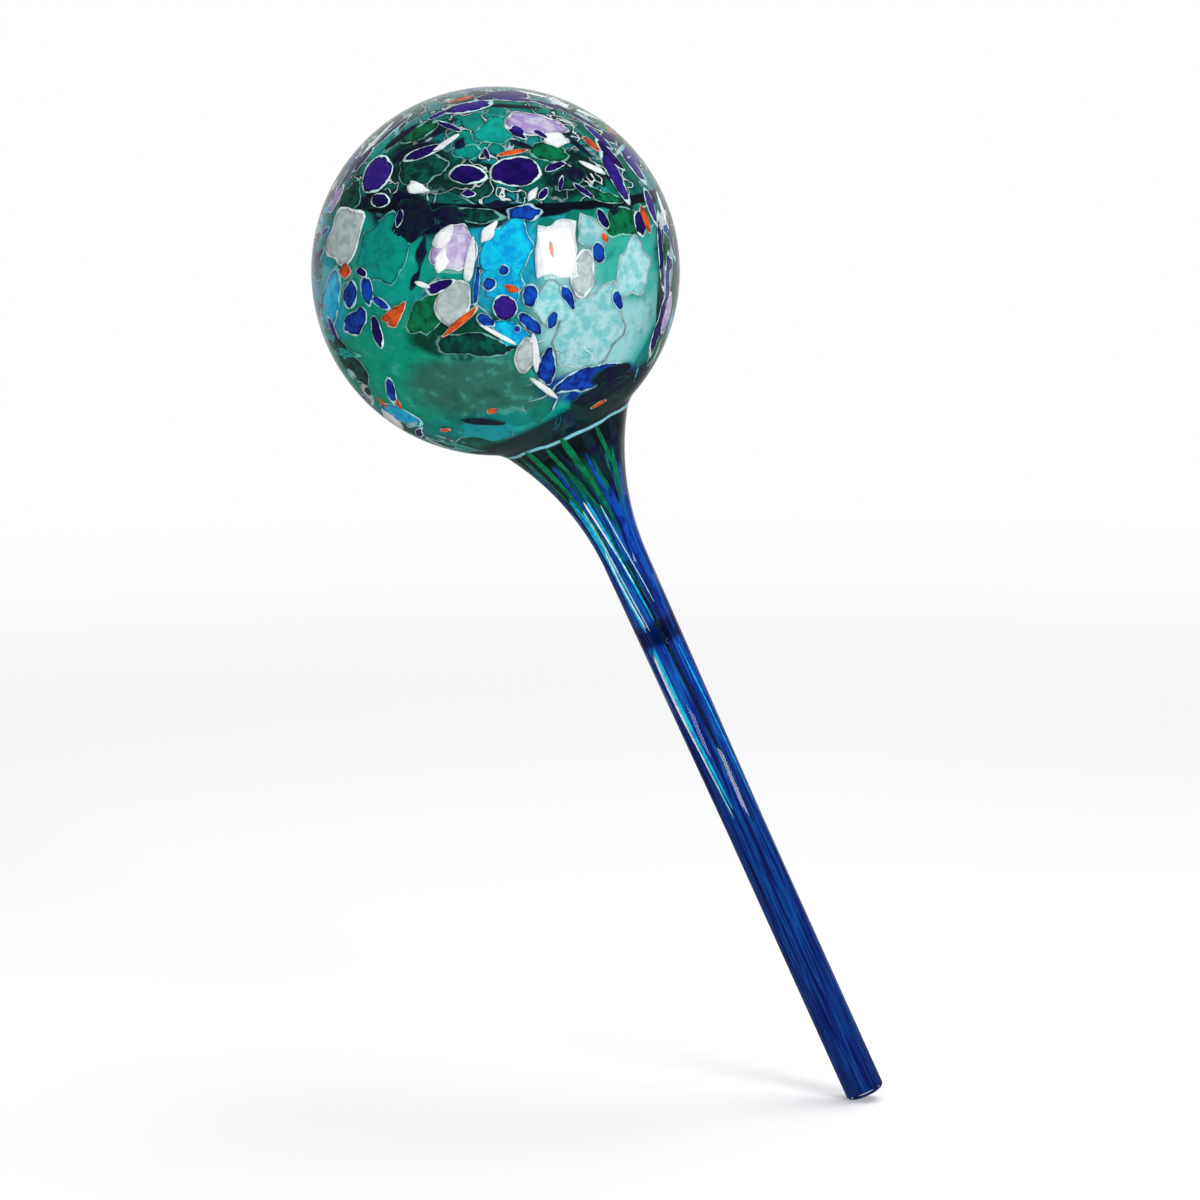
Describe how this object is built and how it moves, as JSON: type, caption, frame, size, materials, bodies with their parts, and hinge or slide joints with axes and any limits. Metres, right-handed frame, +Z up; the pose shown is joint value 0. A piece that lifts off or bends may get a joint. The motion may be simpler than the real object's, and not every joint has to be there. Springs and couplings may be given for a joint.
{
  "type": "watering globe",
  "caption": "Hand-blown glass watering globe, filled and set in a pot at a slant: a round bulb with coloured chips, drawn out into a long hollow stem with an open tip.",
  "frame": {"origin": "on the stem's axis at the soil line, where the globe is held", "axes": "+Z up; -Y towards the viewer of the picture; the stem lies in the XZ plane and leans 24 degrees, with the bulb at -X and the open tip at +X"},
  "size_m": [0.1597, 0.102, 0.2867],
  "materials": {
    "teal": "Translucent teal glass, glossy",
    "cobalt": "Deep cobalt glass, glossy",
    "navy": "Near-black navy glass, glossy",
    "violet": "Violet glass, glossy",
    "lilac": "Pale lilac glass, glossy",
    "white": "Opal white glass, glossy",
    "grey": "Cloudy grey glass, glossy",
    "cyan": "Bright cyan glass, glossy",
    "aqua": "Pale aqua glass, glossy",
    "emerald": "Emerald glass, glossy",
    "orange": "Opaque orange glass, glossy",
    "water": "Clear tap water with a level surface"
  },
  "bodies": {
    "root": {"glass_body": "teal", "stem_tube": "teal", "cobalt_sheath": "cobalt", "navy_inlays": "navy", "violet_inlays": "violet", "lilac_inlays": "lilac", "white_inlays": "white", "grey_inlays": "grey", "cyan_inlays": "cyan", "aqua_inlays": "aqua", "emerald_inlays": "emerald", "cobalt_inlays": "cobalt", "orange_inlays": "orange", "water_charge": "water"}
  },
  "joints": []
}
